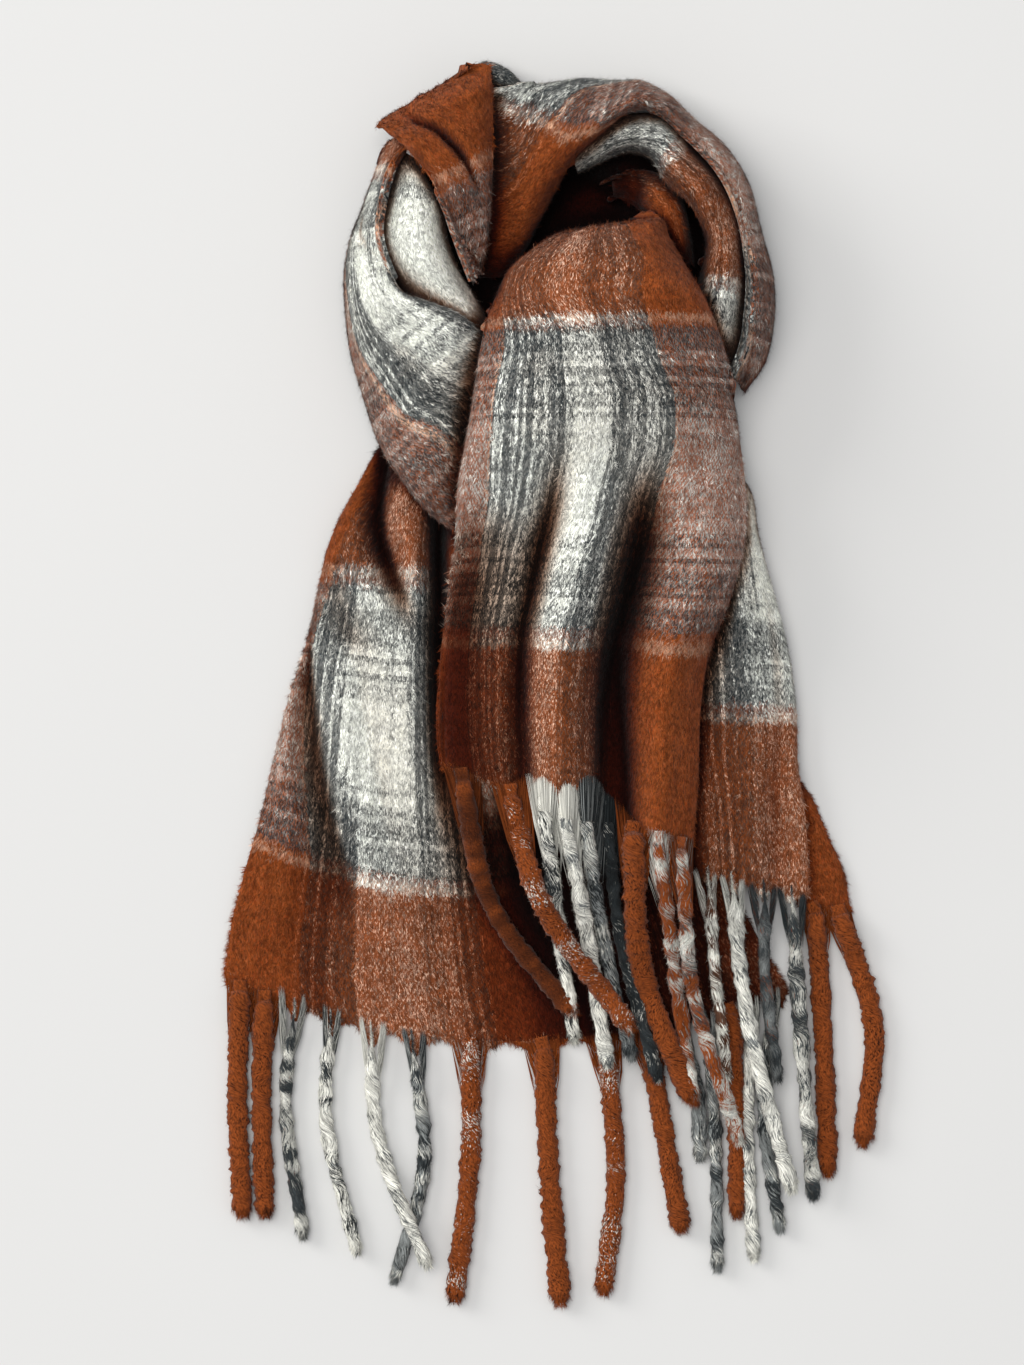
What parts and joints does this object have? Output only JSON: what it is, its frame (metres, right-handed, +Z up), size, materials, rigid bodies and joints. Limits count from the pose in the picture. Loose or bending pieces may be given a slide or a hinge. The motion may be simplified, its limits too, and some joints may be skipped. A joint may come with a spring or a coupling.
{
  "type": "blanket scarf",
  "caption": "Brushed plaid blanket scarf with fringed ends, tied in a loop and laid flat with both tails spread below the loop.",
  "frame": {"origin": "on the surface the scarf lies on, at the middle of its outline seen from above", "axes": "+Z up, away from the surface; +Y from the fringe towards the loop; +X to the right with the loop at the top"},
  "size_m": [0.3816, 0.7174, 0.1063],
  "materials": {
    "brushed_wool_rust": "brushed nap, woven check",
    "brushed_wool_cream": "brushed nap, woven check",
    "brushed_wool_grey": "brushed nap, woven check",
    "brushed_wool_mauve": "brushed nap, woven check",
    "fringe_yarn": "twisted fuzzy yarn"
  },
  "bodies": {
    "root": {"loop_core": "brushed_wool_rust", "loop_throat_roll": "brushed_wool_rust", "loop_right_inner": "brushed_wool_mauve", "loop_flap_behind": "brushed_wool_grey", "loop_back": "brushed_wool_mauve", "loop_left_inner": "brushed_wool_cream", "loop_top_flap": "brushed_wool_rust", "tail_left": "brushed_wool_cream", "loop_left_front": "brushed_wool_grey", "tail_front_selvedge": "brushed_wool_rust", "tail_front_underfold": "brushed_wool_grey", "tail_front": "brushed_wool_cream", "fringe_left": "fringe_yarn", "fringe_front": "fringe_yarn", "fringe_underfold": "fringe_yarn", "fringe_selvedge": "fringe_yarn"}
  },
  "joints": []
}
